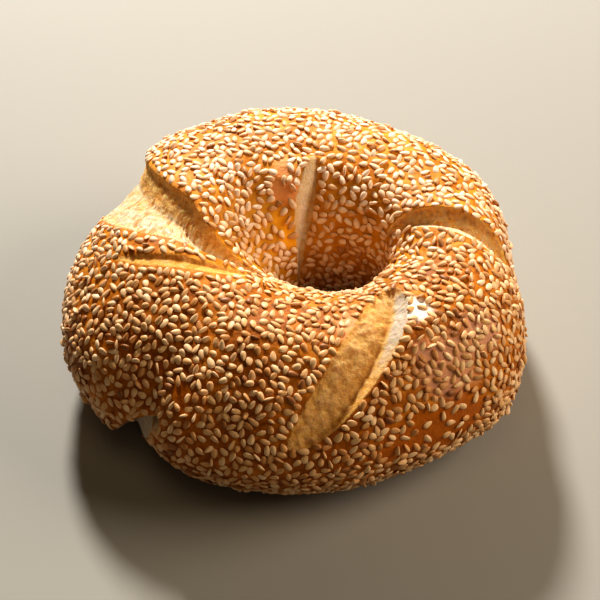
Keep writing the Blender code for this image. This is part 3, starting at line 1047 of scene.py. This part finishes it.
def pack_seeds(places, normals):
    """Seeds as (place, normal, length direction, size in length and width)."""
    cells = {}
    seeds = []
    for spot, up in zip(places, normals):
        place = Vector(spot)
        normal = Vector(up)
        key = tuple(int(math.floor(c / CELL)) for c in spot)
        neighbours = []
        for i in (-1, 0, 1):
            for j in (-1, 0, 1):
                for k in (-1, 0, 1):
                    neighbours += cells.get((key[0] + i, key[1] + j, key[2] + k), [])
        length_size = max(SMALLEST_SEED, draw.gauss(1, SEED_SPREAD))
        width_size = max(SMALLEST_SEED, draw.gauss(1, SEED_SPREAD))
        half_length = SEED_LENGTH / 2 * length_size
        half_width = SEED_WIDTH / 2 * width_size
        sideways = normal.orthogonal().normalized()
        for _ in range(TURN_TRIES):
            axis = sideways.copy()
            axis.rotate(Matrix.Rotation(draw.uniform(0, 2 * math.pi), 3, normal))
            if fits(place, axis, half_length, half_width, neighbours):
                cells.setdefault(key, []).append((place, axis, half_length, half_width))
                seeds.append((place, normal, axis, length_size, width_size))
                break
    return seeds


seeds = pack_seeds(places, place_normals)
print("seeds:", len(seeds), "for each square mm:", round(len(seeds) / (skin_area / MM**2), 3))

# %% [markdown]
# ## Laying them down
#
# A seed sinks a little way into the crust, tips a few degrees either way, and now and then stands on
# its edge. Most seeds are ivory or tan, some are golden and a few toasted brown, so there are four pieces.
# In each, one small shape is copied by array arithmetic, which is quick for thousands of copies. Each seed
# also keeps its own shade and its own square of the flat map.

# %% How each seed lies
SEED_LIFT = 0.15 * MM
SEED_LIFT_SPREAD = 0.08 * MM
TILT = math.radians(11)
EDGE_ON_SHARE = 0.06
EDGE_ON_ROLL = (0.8, 1.5)
EDGE_ON_LIFT = 0.3 * MM


def seed_matrices(seeds):
    matrices = np.zeros((len(seeds), 4, 4))
    for number, (place, normal, axis, length_size, width_size) in enumerate(seeds):
        side = normal.cross(axis).normalized()
        frame_turn = Matrix((axis, side, normal)).transposed()
        roll = draw.gauss(0, TILT)
        lift = SEED_LIFT + draw.gauss(0, SEED_LIFT_SPREAD)
        if draw.random() < EDGE_ON_SHARE:
            roll = draw.uniform(*EDGE_ON_ROLL) * draw.choice((-1, 1))
            lift += EDGE_ON_LIFT
        tip = Matrix.Rotation(draw.gauss(0, TILT), 3, "Y") @ Matrix.Rotation(roll, 3, "X")
        thickness = SEED_THICKNESS * draw.gauss(1, SEED_SPREAD)
        size = Matrix.Diagonal((SEED_LENGTH * length_size, SEED_WIDTH * width_size, thickness))
        turned = (frame_turn @ tip @ size).to_4x4()
        matrices[number] = np.array(Matrix.Translation(place + normal * lift) @ turned)
    return matrices


matrices = seed_matrices(seeds)
print("highest seed in mm:", round(matrices[:, 2, 3].max() / MM, 1))

# %% Build the seed pieces
SEED_KINDS = [("toasted", 0.04), ("golden", 0.18), ("tan", 0.4), ("ivory", 0.38)]
MAP_MARGIN = 0.06
MAP_ROUND = 1.2


def seed_piece(name, matrices, tones, mildness_and_light):
    count = len(matrices)
    here = np.concatenate([SEED_POINTS, np.ones((len(SEED_POINTS), 1))], axis=1)
    points = np.einsum("nij,kj->nki", matrices, here)[:, :, :3].reshape(-1, 3)
    points[:, 2] = np.maximum(points[:, 2], 0.0)
    corners = np.concatenate([np.array(face) for face in SEED_FACES])
    totals = np.array([len(face) for face in SEED_FACES])
    all_corners = (corners[None, :] + np.arange(count)[:, None] * len(SEED_POINTS)).ravel()
    all_totals = np.tile(totals, count)
    mesh = bpy.data.meshes.new(name)
    mesh.vertices.add(len(points))
    mesh.vertices.foreach_set("co", points.astype(np.float32).ravel())
    mesh.loops.add(len(all_corners))
    mesh.loops.foreach_set("vertex_index", all_corners.astype(np.int32))
    mesh.polygons.add(len(all_totals))
    starts = np.concatenate([[0], np.cumsum(all_totals)[:-1]])
    mesh.polygons.foreach_set("loop_start", starts.astype(np.int32))
    mesh.update(calc_edges=True)
    store(mesh, "tone", np.repeat(tones, len(SEED_POINTS)))
    store(mesh, "milder_and_lit", np.repeat(mildness_and_light, len(SEED_POINTS)))
    store(mesh, "tip", np.tile(SEED_POINTS[:, 0] + 0.5, count))
    # Painted highlight on the rim and painted shade in the middle of each seed.
    store(mesh, "rim_highlight", np.tile(np.abs(SEED_POINTS[:, 1]) * 2, count))

    around = np.arctan2(SEED_POINTS[:, 2], SEED_POINTS[:, 1]) / (2 * math.pi) + 0.5
    flat = []
    for face in SEED_FACES:
        share = around[face]
        share = np.where((share.max() - share > 0.5), share + 1, share)
        flat += [(u / MAP_ROUND, SEED_POINTS[index, 0] + 0.5) for u, index in zip(share, face)]
    across = math.ceil(math.sqrt(count))
    cell = np.stack([np.arange(count) % across, np.arange(count) // across], axis=-1)
    within = MAP_MARGIN + (1 - 2 * MAP_MARGIN) * np.array(flat)
    maps = (cell[:, None, :] + within[None, :, :]) / across
    layer = mesh.uv_layers.new(name="OFBake")
    layer.data.foreach_set("uv", maps.astype(np.float32).ravel())
    mesh.shade_smooth()
    print(name, "seeds", count, "faces", len(mesh.polygons))
    return add_object(name, mesh)


tones = rng.random(len(seeds))
# Seeds towards the back are painted paler: partly milder baking, partly painted light.
mildness_and_light = smooth((np.array([place.y for place, *_ in seeds]) - MILDER_AND_LIT_START) / MILDER_AND_LIT_RUN)
kinds = np.searchsorted(np.cumsum([share for _, share in SEED_KINDS]), rng.random(len(seeds)))
seed_pieces = {}
for number, (kind, _) in enumerate(SEED_KINDS):
    chosen = kinds == number
    seed_pieces[kind] = seed_piece("seeds_" + kind, matrices[chosen], tones[chosen], mildness_and_light[chosen])

# %% [markdown]
# ## Sesame
#
# Hulled sesame is an oily seed with a thin papery skin: ivory when raw and tan once baked, smooth, with a
# soft waxy gloss and an index of refraction near 1.47. The pointed end toasts first. The rim is painted
# paler than the middle: a painted highlight on the rim and painted shade in the slightly hollow face.
# Seeds towards the back are painted paler, partly milder baking and partly painted light. The four kinds
# are the same seed after more or less heat, from ivory to toasted brown.

# %% Seed materials
CLOUD_SIZE = 1.0 * MM
LEAST_SHADE = 0.4
TONE_SHARE = 0.5
CLOUD_SHARE = 0.3
# Seeds towards the back are painted paler: partly milder baking, partly painted light.
SEED_MILDER_AND_LIT_SHARE = -0.75
TIP_FADE = (0.6, 1.05, 0.55)
# The paler rim is a painted highlight, with painted shade in the middle.
RIM_HIGHLIGHT_FADE = (0.45, 0.95, 0.45)
HUSK_SIZE = 0.4 * MM
HUSK_HEIGHT = 0.1 * MM


def sesame(name, stops, tip_colour, rim_highlight_colour):
    """One kind of sesame. A fade has the place where it starts, where it ends, and its strength there."""
    material, tree = new_material(name)
    here = add(tree, "ShaderNodeTexCoord").outputs["Object"]
    trait = {}
    for seed_trait in ("tone", "milder_and_lit", "tip", "rim_highlight"):
        trait[seed_trait] = add(tree, "ShaderNodeAttribute", attribute_name=seed_trait).outputs["Fac"]
    cloud = add(tree, "ShaderNodeTexNoise", {"Vector": here, "Scale": 1 / CLOUD_SIZE})
    shade = LEAST_SHADE
    parts = ((trait["tone"], TONE_SHARE), (cloud, CLOUD_SHARE), (trait["milder_and_lit"], SEED_MILDER_AND_LIT_SHARE))
    for source, share in parts:
        shade = add(tree, "ShaderNodeMath", {0: source, 1: share, 2: shade}, operation="MULTIPLY_ADD")
    colour = add(tree, "ShaderNodeValToRGB", {"Fac": shade}, stops=stops)
    for source, fade, hex_colour in (
        (trait["tip"], TIP_FADE, tip_colour),
        (trait["rim_highlight"], RIM_HIGHLIGHT_FADE, rim_highlight_colour),
    ):
        share = add(
            tree,
            "ShaderNodeMapRange",
            {"Value": source, "From Min": fade[0], "From Max": fade[1], "To Max": fade[2]},
        )
        colour = add(
            tree, "ShaderNodeMix", {"Factor": share, "A": colour, "B": linear(hex_colour)}, data_type="RGBA"
        )
    grain = add(tree, "ShaderNodeTexNoise", {"Vector": here, "Scale": 1 / HUSK_SIZE})
    bump = add(tree, "ShaderNodeBump", {"Height": grain, "Strength": 0.2, "Distance": HUSK_HEIGHT})
    surface = add(
        tree,
        "ShaderNodeBsdfPrincipled",
        {
            "Base Color": colour,
            "Roughness": 0.46,
            "IOR": 1.47,
            "Specular IOR Level": 0.4,
            "Normal": bump,
        },
    )
    add(tree, "ShaderNodeOutputMaterial", {"Surface": surface})
    return material


# Each kind has its stops, its tip colour and its rim colour; the paler rim is a painted highlight.
SESAME_COLOURS = {
    "ivory": ([(0.0, "#F6DAC2"), (0.5, "#ECC89A"), (1.0, "#DCAE72")], "#C6904E", "#F6DCBE"),
    "tan": ([(0.0, "#F0CCAA"), (0.5, "#E2B482"), (1.0, "#D09A5C")], "#B68048", "#F0D0A4"),
    "golden": ([(0.0, "#E6BC92"), (0.5, "#D09A60"), (1.0, "#BA7E40")], "#A46C34", "#E2BA88"),
    "toasted": ([(0.0, "#C89460"), (0.5, "#A86E3A"), (1.0, "#8A5222")], "#74421A", "#C4965E"),
}
for kind, (stops, tip_colour, rim_highlight_colour) in SESAME_COLOURS.items():
    seed_pieces[kind].data.materials.append(sesame(kind + "_sesame", stops, tip_colour, rim_highlight_colour))
print("seed materials:", list(SESAME_COLOURS))

# %% [markdown]
# ## Floor and light
#
# A plain pale floor and four round lights. The key comes from behind and a little to the left, for the
# bright back and the shaded front. A broad light from the right shapes that side, weak warm ones from the
# front and above open the shade and the hole, and a dim pale surround fills what is left. The view's look
# has a little more contrast than the standard one.

# %% Floor
FLOOR_SIZE = 3.0

floor_shape = bmesh.new()
bmesh.ops.create_grid(floor_shape, x_segments=2, y_segments=2, size=FLOOR_SIZE / 2)
floor_mesh = bpy.data.meshes.new("floor")
floor_shape.to_mesh(floor_mesh)
floor_shape.free()
floor = add_object("floor", floor_mesh)
floor_material, tree = new_material("pale_floor")
floor_surface = add(tree, "ShaderNodeBsdfPrincipled", {"Base Color": linear("#989690"), "Roughness": 0.8})
add(tree, "ShaderNodeOutputMaterial", {"Surface": floor_surface})
floor_mesh.materials.append(floor_material)
print("floor in m:", FLOOR_SIZE)

# %% Light
# Each light has a name, a direction, its distance and width in m, its power in W and its colour.
LIGHTS = [
    ("key", (-0.15, 0.78, 0.59), 0.9, 0.14, 14.5, "#FFFAF2"),
    ("side", (1.0, 0.05, 0.6), 1.0, 0.7, 8.0, "#FFEED8"),
    ("front", (0.0, -0.67, 0.74), 1.0, 0.7, 0.3, "#FFDFB4"),
    ("top", (0.0, -0.25, 0.97), 1.0, 0.5, 0.8, "#FFE2B0"),
]
SURROUND_COLOUR = "#F2E8D8"
SURROUND_STRENGTH = 0.035


def add_area_light(name, direction, distance, size, power, colour):
    data = bpy.data.lights.new(name, "AREA")
    data.shape = "DISK"
    data.size = size
    data.energy = power
    data.color = linear(colour)[:3]
    light = add_object(name, data)
    toward = Vector(direction).normalized()
    light.location = VIEW_TARGET + toward * distance
    light.rotation_euler = (-toward).to_track_quat("-Z", "Y").to_euler()


for light in LIGHTS:
    add_area_light(*light)
world = bpy.data.worlds.new("surround")
world.use_nodes = True
background = world.node_tree.nodes["Background"]
background.inputs["Color"].default_value = linear(SURROUND_COLOUR)
background.inputs["Strength"].default_value = SURROUND_STRENGTH
scene.world = world
scene.view_settings.view_transform = "Standard"
scene.view_settings.look = "Medium High Contrast"
print("lights:", [light[0] for light in LIGHTS])

# %% [markdown]
# ## The pieces on the body
#
# The bread and the four kinds of seed stand for the solid, and ride on its one body.

for piece in (bread, *seed_pieces.values()):
    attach(piece, "root")
    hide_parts("bagel")
